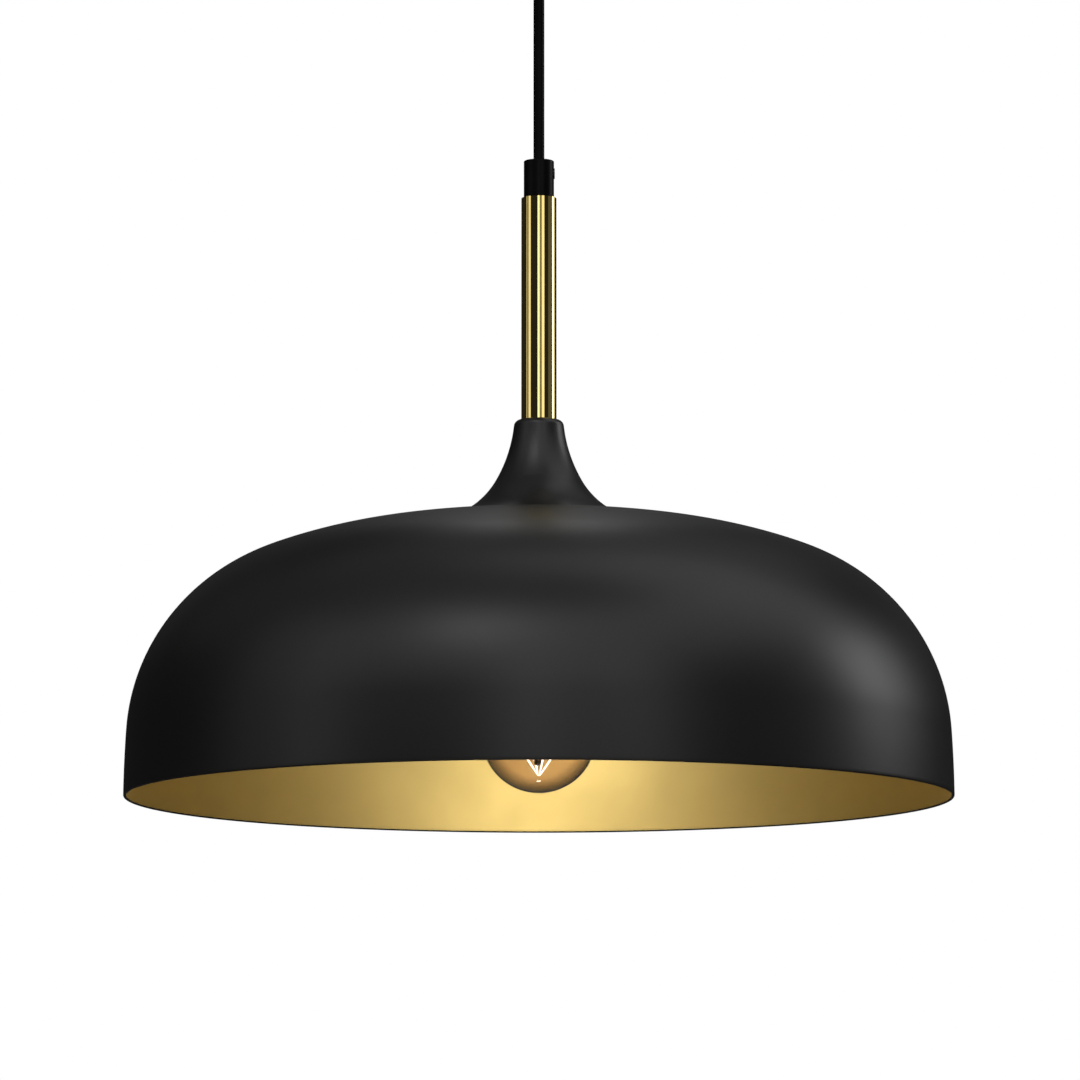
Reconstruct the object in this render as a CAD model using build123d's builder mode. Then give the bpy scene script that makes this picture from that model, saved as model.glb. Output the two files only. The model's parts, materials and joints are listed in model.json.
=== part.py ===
from build123d import *
import os
from math import cos, pi, radians, sin

# A dome pendant light. The origin is on the ceiling, on the light's axis, and everything hangs in -Z.
# All sizes are in millimetres.

# Lengths down the axis
CANOPY_HEIGHT = 28.0
GRIP_HEIGHT = 19.5
CORD_FREE_LENGTH = 92.0
STEM_LENGTH = 115.0
NECK_HEIGHT = 52.8
SHADE_HEIGHT = 141.2

# Shared clearances
FIT = 0.05              # a screwed or pressed joint, on the radius
LOOSE = 0.2             # a clearance hole, on the radius
BULB_PLAY = 0.4         # the lamp cap in its screw shell, on the radius

# Ceiling bracket
BRACKET_THICKNESS = 2.0
BRACKET_WIDTH = 20.0
BRACKET_EAR_DROP = 16.0
BRACKET_EAR_GAP = 2.0
BRACKET_BEND_RADIUS = 1.0
SLOT_SPACING = 60.0
SLOT_LENGTH = 12.0
SLOT_WIDTH = 4.6
SUPPLY_HOLE_RADIUS = 6.0
TONGUE_WIDTH = 24.0

# Canopy and the screws in its wall
CANOPY_RADIUS = 55.0
CANOPY_WALL = 1.2
CANOPY_EDGE_RADIUS = 4.0
CANOPY_SCREW_RADIUS = 2.0
CANOPY_SCREW_DROP = 9.0
CANOPY_SCREW_HEAD_RADIUS = 4.0
CANOPY_SCREW_HEAD_LENGTH = 4.0
CANOPY_SCREW_HEAD_ROUND = 1.3
CANOPY_SCREW_REACH = 3.0

# Hollow M10 thread: the nipple at the ceiling and the rod in the stem
THREAD_RADIUS = 5.0
THREAD_BORE_RADIUS = 3.5
THREAD_IN_GRIP = 8.0
NIPPLE_END = 2.0
NUT_ACROSS_FLATS = 17.0
NUT_HEIGHT = 4.0
LOCK_WASHER_RADIUS = 10.0
LOCK_WASHER_HEIGHT = 1.0

# Cord and its three cores
CORD_RADIUS = 2.8
CORE_RADIUS = 1.0
CORE_OFFSET = 1.35
CORE_BEARING = 30.0     # of the live and neutral cores, from the X axis, in degrees
CORD_STRIP = 2.0

# Cord grip, its screw and its pad
GRIP_RADIUS = 7.75
GRIP_EDGE_RADIUS = 0.4
GRIP_BORE_PLAY = 0.1
GRIP_MOUTH_RADIUS = 6.0
GRIP_MOUTH_DEPTH = 6.0
CORD_BEND_DEPTH = 4.0   # where the cord starts to bend, inside the mouth
GRIP_SCREW_DEPTH = 6.5
GRIP_SCREW_RADIUS = 2.0
GRIP_SCREW_HEAD_RADIUS = 2.8
GRIP_SCREW_HEAD_LENGTH = 2.2
GRIP_SCREW_PROUD = 0.4
GRIP_SCREW_SLOT_WIDTH = 0.8
GRIP_SCREW_SLOT_DEPTH = 1.0
GRIP_PAD_LENGTH = 1.15

# Terminal block on the bracket's tongue
BLOCK_WIDTH = 20.0
BLOCK_DEPTH = 16.0
BLOCK_HEIGHT = 12.0
BLOCK_CORNER_RADIUS = 1.5
BLOCK_SETBACK = 4.0
TERMINAL_SPACING = 9.0
TERMINAL_DROP = 7.0
TERMINAL_RADIUS = 2.2
TERMINAL_BORE_RADIUS = 1.3
TERMINAL_SCREW_SPACING = 8.0
TERMINAL_SCREW_RADIUS = 1.2
FIXING_SCREW_RADIUS = 1.5
FIXING_HEAD_RADIUS = 2.2
FIXING_HEAD_HEIGHT = 1.6

# Earth screw and lug under the bracket
EARTH_SCREW_X = -15.0
EARTH_SCREW_RADIUS = 2.0
EARTH_HEAD_RADIUS = 3.6
EARTH_HEAD_HEIGHT = 2.2
EARTH_HEAD_ROUND = 0.7
LUG_RADIUS = 4.0
LUG_THICKNESS = 0.8
LUG_BARREL_RADIUS = 1.6
LUG_BARREL_LENGTH = 4.0
LUG_BARREL_GAP = 1.0
LUG_BORE_DEPTH = 3.0

# Routes of the upper cores, from the stripped cord to the terminals and the lug
UPPER_KNEE_DROP = 1.5       # below the terminals
UPPER_LEAD_IN = 5.0         # in front of the terminal block
UPPER_BENDS = (3.0, 4.0)
LUG_KNEE_DROP = 4.5         # below the lug's barrel
LUG_LEAD_IN = 4.4           # beyond the barrel's mouth
LUG_BENDS = (3.0, 2.5)

# Stem
STEM_RADIUS = 9.0
STEM_WALL = 1.0
STEM_BUSH_HEIGHT = 8.0

# Neck: a trumpet of two tangent arcs with a rounded top corner and a thin upright lip
NECK_TOP_RADIUS = 12.8
NECK_TOP_CORNER = 3.4
NECK_BASE_RADIUS = 47.5
NECK_LIP = 1.6
NECK_WALL = 1.6
NECK_TOP_PLATE = 6.0
NECK_SPIGOT_HEIGHT = 2.0
# slopes of the surface's normal at the lip, between the two arcs and at the top, in degrees
NECK_TURNS = (74.3, 29.6, 6.3)

# Shade: a seat for the neck, a crown arc, a shoulder arc and a nearly upright wall arc
SHADE_RADIUS = 210.0
SHADE_WALL = 1.5
SHADE_SEAT_MARGIN = 1.2
SHADE_WALL_ARC = 639.0
# slopes of the surface's normal at the rim, between the three arcs and at the seat, in degrees
SHADE_TURNS = (0.57, 3.55, 69.3, 90.0)
SHADE_WASHER_RADIUS = 16.0
SHADE_WASHER_HEIGHT = 1.5

# Lampholder
HOLDER_COLLAR_RADIUS = 8.0
HOLDER_COLLAR_HEIGHT = 7.0
HOLDER_RADIUS = 19.0
HOLDER_CAP_HEIGHT = 24.2
HOLDER_CAP_WALL = 2.0
HOLDER_CAP_CORNER = 4.0
HOLDER_ROD_REACH = 8.0
SKIRT_WALL = 1.5
SKIRT_OVERLAP = 7.0
SKIRT_LENGTH = 38.0
SKIRT_LEDGE_RADIUS = 14.6
SKIRT_LEDGE_HEIGHT = 1.5
SKIRT_MOUTH_RADIUS = 15.5
SKIRT_LIP_HEIGHT = 2.0
INSERT_HEIGHT = 6.0
INSERT_HOLE_DEPTH = 3.0
INSERT_HOLE_X = 9.0
SHELL_LENGTH = 28.0
SHELL_WALL = 0.5
CONTACT_SPACE = 2.0
CONTACT_WIDTH = 6.0
CONTACT_THICKNESS = 0.4
CONTACT_REACH = 10.0
EARTH_BLOCK_SIZE = 6.0
EARTH_BLOCK_HEIGHT = 7.0
EARTH_BLOCK_Y = -11.0
EARTH_BLOCK_SCREW_RADIUS = 1.25
EARTH_BLOCK_HOLE_DROP = 4.7
EARTH_BLOCK_HOLE_DEPTH = 4.2
LOCK_SCREW_RADIUS = 1.5
LOCK_SCREW_DROP = 3.5

# Routes of the lower cores, from the stripped cord into the lampholder
LOWER_STRAIGHT = 2.2        # below the sheath's end
INSERT_LEAD_IN = 3.2        # above the insert
EARTH_BLOCK_LEAD_IN = 2.5   # in front of the earth terminal
EARTH_CORE_DEPTH = 3.0      # inside the earth terminal
LOWER_BENDS = (1.5, 2.0)

# Bulb
BULB_LENGTH = 105.0
BULB_RADIUS = 29.5
BULB_GLASS = 0.8
BULB_CAP_RADIUS = 13.1
BULB_CAP_WALL = 0.4
BULB_CAP_HEIGHT = 21.0
BULB_CAP_THREADS = 4
BULB_THREAD_PITCH = 3.629
BULB_THREAD_DEPTH = 0.35
BULB_INSULATOR_HEIGHT = 4.5
BULB_INSULATOR_RADIUS = 11.5
BULB_CONTACT_RADIUS = 4.8
BULB_CONTACT_HEIGHT = 1.5
BULB_NECK_IN_CAP = 5.0
BULB_NECK_STRAIGHT = 3.0
BULB_STEM_RADIUS = 2.5
BULB_STEM_FLARE = 12.0
BULB_STEM_CLEAR = 14.0
BULB_DRIVER_RADIUS = 10.0
BULB_DRIVER_BOARD = 1.6
BULB_DRIVER_BOX = 8.0
FILAMENT_COUNT = 4
FILAMENT_RADIUS = 0.65
FILAMENT_LENGTH = 30.0
FILAMENT_LEAN = 34.0
FILAMENT_FOOT_RADIUS = 1.2
FILAMENT_FOOT_CLEAR = 9.0
FILAMENT_TURN = 20.0
FILAMENT_WIRE_RADIUS = 0.4
FILAMENT_WIRE_GAP = 0.15
FILAMENT_WIRE_RISE = 10.0

# Levels down the axis
canopy_floor_z = -CANOPY_HEIGHT
upper_mouth_z = canopy_floor_z - GRIP_HEIGHT
lower_mouth_z = upper_mouth_z - CORD_FREE_LENGTH
stem_top_z = lower_mouth_z - GRIP_HEIGHT
neck_top_z = stem_top_z - STEM_LENGTH
seat_z = neck_top_z - NECK_HEIGHT
rim_z = seat_z - SHADE_HEIGHT
upper_bend_z = upper_mouth_z + CORD_BEND_DEPTH
lower_bend_z = lower_mouth_z - CORD_BEND_DEPTH
shade_nut_z = seat_z - SHADE_WALL - SHADE_WASHER_HEIGHT - NUT_HEIGHT
rod_bottom_z = shade_nut_z - HOLDER_ROD_REACH
holder_roof_z = shade_nut_z - HOLDER_COLLAR_HEIGHT - HOLDER_CAP_WALL
ledge_z = shade_nut_z - HOLDER_CAP_HEIGHT
contact_z = ledge_z - CONTACT_SPACE
bulb_centre_z = contact_z - BULB_LENGTH + BULB_RADIUS
bulb_bottom_z = bulb_centre_z - BULB_RADIUS
cap_top_z = contact_z - BULB_CONTACT_HEIGHT - BULB_INSULATOR_HEIGHT
cap_rim_z = cap_top_z - BULB_CAP_HEIGHT
glass_top_z = cap_rim_z + BULB_NECK_IN_CAP

grip_bore_radius = CORD_RADIUS + GRIP_BORE_PLAY
thread_hole_radius = THREAD_RADIUS + FIT
clear_hole_radius = THREAD_RADIUS + LOOSE

os.makedirs("parts", exist_ok=True)


def save(piece, node):
    """Label a finished piece and write its file."""
    piece.part.label = node
    export_step(piece.part, f"parts/{node}.step")


def unit(angle):
    """Point on the unit circle at an angle in degrees."""
    return Vector(cos(radians(angle)), sin(radians(angle)))


def two_radii(span, first_turn, second_turn):
    """Radii of two tangent arcs that together cover a span, from the change of normal along each."""
    area = first_turn.X * second_turn.Y - first_turn.Y * second_turn.X
    first = (span.X * second_turn.Y - span.Y * second_turn.X) / area
    second = (first_turn.X * span.Y - first_turn.Y * span.X) / area
    return first, second


def arc_chain(start, turns, radii, side, inset=0.0):
    """Draw tangent arcs from a point. side is 1 for a bulging chain and -1 for a hollow one.

    inset moves the chain inwards by a wall's thickness. Returns the chain's first and last points.
    """
    centre = start - unit(turns[0]) * radii[0] * side
    arcs = []
    for index, radius in enumerate(radii):
        begin, end = turns[index], turns[index + 1]
        if index:
            centre += unit(begin) * (radii[index - 1] - radius) * side
        first_angle = begin if side > 0 else begin + 180
        arcs.append(CenterArc((centre.X, centre.Y), radius - side * inset, first_angle, end - begin))
    return arcs[0] @ 0, arcs[-1] @ 1


def ring(outer, inner, z, height):
    """Plain ring about the axis, from level z upwards."""
    with BuildPart() as piece:
        with BuildSketch(Plane.XY.offset(z)):
            Circle(outer)
            Circle(inner, mode=Mode.SUBTRACT)
        extrude(amount=height)
    return piece


def rod(radius, z_low, z_high):
    """Plain round rod about the axis."""
    with BuildPart() as piece:
        with BuildSketch(Plane.XY.offset(z_low)):
            Circle(radius)
        extrude(amount=z_high - z_low)
    return piece


def hex_nut(z):
    """Hexagon nut on the M10 thread, from level z upwards."""
    with BuildPart() as piece:
        with BuildSketch(Plane.XY.offset(z)):
            RegularPolygon(NUT_ACROSS_FLATS / 2, 6, major_radius=False)
            Circle(thread_hole_radius, mode=Mode.SUBTRACT)
        extrude(amount=NUT_HEIGHT)
    return piece


def core(points, radii):
    """Insulated core along straight runs joined by arcs."""
    with BuildPart() as piece:
        with BuildLine() as route:
            FilletPolyline(*points, radius=list(radii))
        path = route.wire()
        with BuildSketch(Plane(origin=path @ 0, z_dir=path % 0)):
            Circle(CORE_RADIUS)
        sweep(path=path)
    expected = pi * CORE_RADIUS ** 2 * path.length
    print(f"core arcs {radii} mm, volume over section times length {piece.part.volume / expected:.4f}")
    return piece


# Ceiling bracket: a strap bent down at both ends, with a tongue for the terminal block
ear_face_x = CANOPY_RADIUS - CANOPY_WALL - BRACKET_EAR_GAP
ear_inner_x = ear_face_x - BRACKET_THICKNESS
block_front_y = BRACKET_WIDTH / 2 + BLOCK_SETBACK
tongue_end_y = block_front_y + BLOCK_DEPTH
block_centre_y = block_front_y + BLOCK_DEPTH / 2
with BuildPart() as bracket:
    with BuildSketch(Plane.XZ):
        with BuildLine():
            Polyline(
                (-ear_face_x, -BRACKET_EAR_DROP),
                (-ear_face_x, 0),
                (ear_face_x, 0),
                (ear_face_x, -BRACKET_EAR_DROP),
                (ear_inner_x, -BRACKET_EAR_DROP),
                (ear_inner_x, -BRACKET_THICKNESS),
                (-ear_inner_x, -BRACKET_THICKNESS),
                (-ear_inner_x, -BRACKET_EAR_DROP),
                close=True,
            )
        make_face()
    extrude(amount=BRACKET_WIDTH / 2, both=True)
    bends = bracket.edges().filter_by(Axis.Y)
    fillet(bends.group_by(Axis.Z)[-1], BRACKET_BEND_RADIUS + BRACKET_THICKNESS)
    bends = bracket.edges().filter_by(Axis.Y)
    fillet(bends.filter_by_position(Axis.Z, -BRACKET_THICKNESS, -BRACKET_THICKNESS), BRACKET_BEND_RADIUS)
    with BuildSketch(Plane.XY):
        with Locations((0, tongue_end_y / 2)):
            Rectangle(TONGUE_WIDTH, tongue_end_y)
    extrude(amount=-BRACKET_THICKNESS)
    with BuildSketch(Plane.XY):
        with GridLocations(SLOT_SPACING, 0, 2, 1):
            SlotOverall(SLOT_LENGTH, SLOT_WIDTH)
        Circle(SUPPLY_HOLE_RADIUS)
        with Locations((EARTH_SCREW_X, 0)):
            Circle(EARTH_SCREW_RADIUS + FIT)
        with Locations((0, block_centre_y)):
            Circle(FIXING_SCREW_RADIUS + FIT)
    extrude(amount=-BRACKET_THICKNESS, mode=Mode.SUBTRACT)
    with BuildSketch(Plane.YZ):
        with Locations((0, -CANOPY_SCREW_DROP)):
            Circle(CANOPY_SCREW_RADIUS + FIT)
    extrude(amount=CANOPY_RADIUS, both=True, mode=Mode.SUBTRACT)
save(bracket, "ceiling_bracket")

# Canopy: a cup whose rim meets the ceiling
with BuildPart() as canopy:
    with BuildSketch(Plane.XY):
        Circle(CANOPY_RADIUS)
    extrude(amount=-CANOPY_HEIGHT)
    fillet(canopy.faces().sort_by(Axis.Z)[0].edges(), CANOPY_EDGE_RADIUS)
    offset(amount=-CANOPY_WALL, openings=canopy.faces().sort_by(Axis.Z)[-1])
    with BuildSketch(Plane.XY.offset(canopy_floor_z)):
        Circle(clear_hole_radius)
    extrude(amount=CANOPY_WALL, mode=Mode.SUBTRACT)
    with BuildSketch(Plane.YZ):
        with Locations((0, -CANOPY_SCREW_DROP)):
            Circle(CANOPY_SCREW_RADIUS + LOOSE)
    extrude(amount=CANOPY_RADIUS, both=True, mode=Mode.SUBTRACT)
save(canopy, "canopy")

# Two round-headed screws through the canopy's wall into the bracket's ears
with BuildPart() as canopy_screws:
    screw_tip_x = ear_inner_x - CANOPY_SCREW_REACH
    screw_seat_x = CANOPY_RADIUS + FIT
    with BuildSketch(Plane.YZ.offset(screw_tip_x)):
        with Locations((0, -CANOPY_SCREW_DROP)):
            Circle(CANOPY_SCREW_RADIUS)
    extrude(amount=screw_seat_x - screw_tip_x)
    with BuildSketch(Plane.YZ.offset(screw_seat_x)):
        with Locations((0, -CANOPY_SCREW_DROP)):
            Circle(CANOPY_SCREW_HEAD_RADIUS)
    extrude(amount=CANOPY_SCREW_HEAD_LENGTH)
    head_edge = canopy_screws.faces().sort_by(Axis.X)[-1].edges()
    fillet(head_edge, CANOPY_SCREW_HEAD_ROUND)
    mirror(about=Plane.YZ)
save(canopy_screws, "canopy_screws")

# Hollow nipple, washer and nut that hold the upper grip on the canopy's floor
washer_z = canopy_floor_z + CANOPY_WALL
lock_nut_z = washer_z + LOCK_WASHER_HEIGHT
nipple_top_z = lock_nut_z + NUT_HEIGHT + NIPPLE_END
nipple_bottom_z = canopy_floor_z - THREAD_IN_GRIP
nipple = ring(THREAD_RADIUS, THREAD_BORE_RADIUS, nipple_bottom_z, nipple_top_z - nipple_bottom_z)
save(nipple, "canopy_nipple")
save(ring(LOCK_WASHER_RADIUS, clear_hole_radius, washer_z, LOCK_WASHER_HEIGHT), "canopy_lock_washer")
save(hex_nut(lock_nut_z), "canopy_lock_nut")


def cord_grip(mouth_z, facing):
    """Grip with a threaded socket at one end and a flared mouth at the other.

    facing is 1 for a mouth upwards and -1 for a mouth downwards.
    """

    def level(depth):
        return mouth_z - facing * depth

    socket_depth = THREAD_IN_GRIP + FIT
    bore_end = (grip_bore_radius, level(GRIP_MOUTH_DEPTH))
    screw_floor_x = GRIP_RADIUS + GRIP_SCREW_PROUD - GRIP_SCREW_HEAD_LENGTH - 2 * FIT
    with BuildPart() as piece:
        with BuildSketch(Plane.XZ):
            with BuildLine():
                Polyline(
                    (GRIP_MOUTH_RADIUS, level(0)),
                    (GRIP_RADIUS, level(0)),
                    (GRIP_RADIUS, level(GRIP_HEIGHT)),
                    (thread_hole_radius, level(GRIP_HEIGHT)),
                    (thread_hole_radius, level(GRIP_HEIGHT - socket_depth)),
                    (grip_bore_radius, level(GRIP_HEIGHT - socket_depth)),
                    bore_end,
                )
                TangentArc(bore_end, (GRIP_MOUTH_RADIUS, level(0)), tangent=(0, facing))
            make_face()
        revolve(axis=Axis.Z)
        outer_edges = piece.edges().filter_by(GeomType.CIRCLE).group_by(SortBy.RADIUS)[-1]
        fillet(outer_edges, GRIP_EDGE_RADIUS)
        with BuildSketch(Plane.YZ):
            with Locations((0, level(GRIP_SCREW_DEPTH))):
                Circle(GRIP_SCREW_RADIUS + FIT)
        extrude(amount=GRIP_RADIUS, mode=Mode.SUBTRACT)
        with BuildSketch(Plane.YZ.offset(screw_floor_x)):
            with Locations((0, level(GRIP_SCREW_DEPTH))):
                Circle(GRIP_SCREW_HEAD_RADIUS + LOOSE)
        extrude(amount=GRIP_RADIUS, mode=Mode.SUBTRACT)
    return piece


def grip_screw(z):
    """Slotted screw that enters the grip from +X and pushes the pad."""
    head_x = GRIP_RADIUS + GRIP_SCREW_PROUD - GRIP_SCREW_HEAD_LENGTH
    tip_x = CORD_RADIUS + 2 * FIT + GRIP_PAD_LENGTH
    top_x = head_x + GRIP_SCREW_HEAD_LENGTH
    with BuildPart() as piece:
        with BuildSketch(Plane.YZ.offset(tip_x)):
            with Locations((0, z)):
                Circle(GRIP_SCREW_RADIUS)
        extrude(amount=head_x - tip_x)
        with BuildSketch(Plane.YZ.offset(head_x)):
            with Locations((0, z)):
                Circle(GRIP_SCREW_HEAD_RADIUS)
        extrude(amount=GRIP_SCREW_HEAD_LENGTH)
        chamfer(piece.faces().sort_by(Axis.X)[-1].edges(), GRIP_SCREW_PROUD / 2)
        with BuildSketch(Plane.YZ.offset(top_x)):
            with Locations((0, z)):
                Rectangle(2 * GRIP_SCREW_HEAD_RADIUS, GRIP_SCREW_SLOT_WIDTH)
        extrude(amount=-GRIP_SCREW_SLOT_DEPTH, mode=Mode.SUBTRACT)
    return piece


def grip_pad(z):
    """Round pad between the screw's tip and the cord."""
    with BuildPart() as piece:
        with BuildSketch(Plane.YZ.offset(CORD_RADIUS + FIT)):
            with Locations((0, z)):
                Circle(GRIP_SCREW_RADIUS - FIT)
        extrude(amount=GRIP_PAD_LENGTH)
    return piece


# The same grip hangs from the canopy with its mouth down and stands on the stem with its mouth up
grips = (
    ("canopy_cord_grip", "canopy_grip", upper_mouth_z, -1),
    ("cord_grip", "cord_grip", lower_mouth_z, 1),
)
for node, prefix, mouth_z, facing in grips:
    screw_z = mouth_z - facing * GRIP_SCREW_DEPTH
    save(cord_grip(mouth_z, facing), node)
    save(grip_screw(screw_z), f"{prefix}_screw")
    save(grip_pad(screw_z), f"{prefix}_pad")

# The cord: its tail in the canopy, the hanging stretch, and the stretch inside the stem
tail_top_z = nipple_top_z + CORD_STRIP
sheath_end_z = rod_bottom_z - CORD_STRIP / 2
save(rod(CORD_RADIUS, upper_bend_z, tail_top_z), "canopy_cord_tail")
save(rod(CORD_RADIUS, lower_bend_z, upper_bend_z), "hanging_cord")
save(rod(CORD_RADIUS, sheath_end_z, lower_bend_z), "stem_cord")

# Terminal block, screwed under the bracket's tongue, with a brass tube for each pole
block_bottom_z = -BRACKET_THICKNESS - BLOCK_HEIGHT
terminal_z = -BRACKET_THICKNESS - TERMINAL_DROP
fixing_head_z = block_bottom_z + FIXING_HEAD_HEIGHT
front_plane = Plane(origin=(0, block_front_y, 0), x_dir=(1, 0, 0), z_dir=(0, 1, 0))
terminal_x = TERMINAL_SPACING / 2
# the front plane looks along +Y, so its own y axis points down
poles = [(-terminal_x, -terminal_z), (terminal_x, -terminal_z)]
with BuildPart() as block:
    with BuildSketch(Plane.XY.offset(block_bottom_z)):
        with Locations((0, block_centre_y)):
            RectangleRounded(BLOCK_WIDTH, BLOCK_DEPTH, BLOCK_CORNER_RADIUS)
    extrude(amount=BLOCK_HEIGHT)
    with BuildSketch(front_plane):
        with Locations(*poles):
            Circle(TERMINAL_RADIUS + FIT)
    extrude(amount=BLOCK_DEPTH, mode=Mode.SUBTRACT)
    with BuildSketch(Plane.XY.offset(block_bottom_z)):
        with Locations((0, block_centre_y)):
            with GridLocations(TERMINAL_SPACING, TERMINAL_SCREW_SPACING, 2, 2):
                Circle(TERMINAL_SCREW_RADIUS + LOOSE)
    extrude(amount=terminal_z - block_bottom_z, mode=Mode.SUBTRACT)
    with BuildSketch(Plane.XY.offset(block_bottom_z)):
        with Locations((0, block_centre_y)):
            Circle(FIXING_SCREW_RADIUS + LOOSE)
    extrude(amount=BLOCK_HEIGHT, mode=Mode.SUBTRACT)
    with BuildSketch(Plane.XY.offset(block_bottom_z)):
        with Locations((0, block_centre_y)):
            Circle(FIXING_HEAD_RADIUS + LOOSE)
    extrude(amount=FIXING_HEAD_HEIGHT, mode=Mode.SUBTRACT)
save(block, "terminal_block")

with BuildPart() as terminal_tubes:
    with BuildSketch(front_plane):
        with Locations(*poles):
            Circle(TERMINAL_RADIUS)
            Circle(TERMINAL_BORE_RADIUS, mode=Mode.SUBTRACT)
    extrude(amount=BLOCK_DEPTH)
    with BuildSketch(Plane.XY.offset(block_bottom_z)):
        with Locations((0, block_centre_y)):
            with GridLocations(TERMINAL_SPACING, TERMINAL_SCREW_SPACING, 2, 2):
                Circle(TERMINAL_SCREW_RADIUS + FIT)
    extrude(amount=terminal_z - block_bottom_z, mode=Mode.SUBTRACT)
save(terminal_tubes, "terminal_tubes")

with BuildPart() as terminal_screws:
    with BuildSketch(Plane.XY.offset(block_bottom_z)):
        with Locations((0, block_centre_y)):
            with GridLocations(TERMINAL_SPACING, TERMINAL_SCREW_SPACING, 2, 2):
                Circle(TERMINAL_SCREW_RADIUS)
    extrude(amount=terminal_z - CORE_RADIUS - FIT - block_bottom_z)
save(terminal_screws, "terminal_screws")

with BuildPart() as fixing_screw:
    with BuildSketch(Plane.XY.offset(fixing_head_z)):
        with Locations((0, block_centre_y)):
            Circle(FIXING_SCREW_RADIUS)
    extrude(amount=-fixing_head_z)
    with BuildSketch(Plane.XY.offset(fixing_head_z)):
        with Locations((0, block_centre_y)):
            Circle(FIXING_HEAD_RADIUS)
    extrude(amount=-FIXING_HEAD_HEIGHT)
save(fixing_screw, "terminal_fixing_screw")

# Earth screw under the bracket, with a ring lug below its strap
lug_bottom_z = -BRACKET_THICKNESS - LUG_THICKNESS
barrel_start_x = EARTH_SCREW_X + EARTH_HEAD_RADIUS + LUG_BARREL_GAP
barrel_end_x = barrel_start_x + LUG_BARREL_LENGTH
barrel_z = -BRACKET_THICKNESS - LUG_BARREL_RADIUS - FIT
with BuildPart() as earth_screw:
    with BuildSketch(Plane.XY.offset(lug_bottom_z)):
        with Locations((EARTH_SCREW_X, 0)):
            Circle(EARTH_SCREW_RADIUS)
    extrude(amount=-lug_bottom_z)
    with BuildSketch(Plane.XY.offset(lug_bottom_z)):
        with Locations((EARTH_SCREW_X, 0)):
            Circle(EARTH_HEAD_RADIUS)
    extrude(amount=-EARTH_HEAD_HEIGHT)
    fillet(earth_screw.faces().sort_by(Axis.Z)[0].edges(), EARTH_HEAD_ROUND)
save(earth_screw, "earth_screw")

with BuildPart() as earth_lug:
    with BuildSketch(Plane.XY.offset(lug_bottom_z)):
        with Locations((EARTH_SCREW_X, 0)):
            Circle(LUG_RADIUS)
        with Locations(((EARTH_SCREW_X + barrel_start_x) / 2, 0)):
            Rectangle(barrel_start_x - EARTH_SCREW_X, 2 * LUG_BARREL_RADIUS)
        with Locations((EARTH_SCREW_X, 0)):
            Circle(EARTH_SCREW_RADIUS + FIT, mode=Mode.SUBTRACT)
    extrude(amount=LUG_THICKNESS)
    with BuildSketch(Plane.YZ.offset(barrel_start_x)):
        with Locations((0, barrel_z)):
            Circle(LUG_BARREL_RADIUS)
    extrude(amount=LUG_BARREL_LENGTH)
    with BuildSketch(Plane.YZ.offset(barrel_end_x)):
        with Locations((0, barrel_z)):
            Circle(CORE_RADIUS + FIT)
    extrude(amount=-LUG_BORE_DEPTH, mode=Mode.SUBTRACT)
save(earth_lug, "earth_lug")

# Cores from the stripped cord to the terminals and the earth lug
core_side = CORE_OFFSET * cos(radians(CORE_BEARING))
core_front = CORE_OFFSET * sin(radians(CORE_BEARING))
core_entry_y = block_front_y + BLOCK_DEPTH / 4
for node, side in (("live_core_upper", -1), ("neutral_core_upper", 1)):
    route = [
        (side * core_side, core_front, tail_top_z),
        (side * core_side, core_front, terminal_z - UPPER_KNEE_DROP),
        (side * terminal_x, block_front_y - UPPER_LEAD_IN, terminal_z),
        (side * terminal_x, core_entry_y, terminal_z),
    ]
    save(core(route, UPPER_BENDS), node)
earth_route = [
    (0, -CORE_OFFSET, tail_top_z),
    (0, -CORE_OFFSET, barrel_z - LUG_KNEE_DROP),
    (barrel_end_x + LUG_LEAD_IN, 0, barrel_z),
    (barrel_end_x - LUG_BARREL_LENGTH / 2, 0, barrel_z),
]
save(core(earth_route, LUG_BENDS), "earth_core_upper")

# Brass stem tube, the bush in its top and the hollow rod that clamps the whole stack
stem_bore_radius = STEM_RADIUS - STEM_WALL
rod_top_z = stem_top_z + THREAD_IN_GRIP
save(ring(STEM_RADIUS, stem_bore_radius, neck_top_z, STEM_LENGTH), "stem_tube")
bush_z = stem_top_z - STEM_BUSH_HEIGHT
save(ring(stem_bore_radius - FIT, thread_hole_radius, bush_z, STEM_BUSH_HEIGHT), "stem_top_bush")
save(ring(THREAD_RADIUS, THREAD_BORE_RADIUS, rod_bottom_z, rod_top_z - rod_bottom_z), "threaded_rod")

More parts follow.
